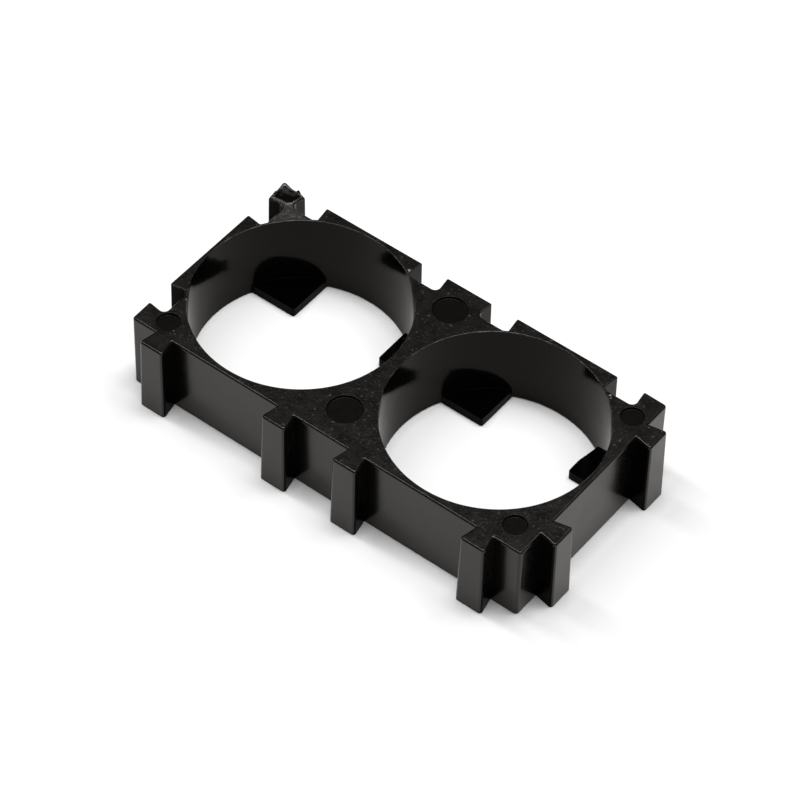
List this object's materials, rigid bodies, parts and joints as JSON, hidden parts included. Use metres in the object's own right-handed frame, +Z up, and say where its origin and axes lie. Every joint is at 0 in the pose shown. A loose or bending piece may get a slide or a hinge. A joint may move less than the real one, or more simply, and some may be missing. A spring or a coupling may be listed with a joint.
{
  "type": "battery cell holder bracket",
  "caption": "Black plastic spacer bracket: tapered round pockets with corner stops hold cylindrical cells side by side, and dovetail keys and keyways join it to its neighbours.",
  "frame": {"origin": "on the base face, midway between the axes of the pockets", "axes": "+Z up along the pockets, +X from the left pocket to the right one, keys on -Y and +X"},
  "size_m": [0.0419, 0.0217, 0.008],
  "materials": {
    "black_plastic": "satin moulded plastic, fine spark-eroded grain on the top face"
  },
  "bodies": {
    "root": {"cell_bracket": "black_plastic"}
  },
  "joints": []
}
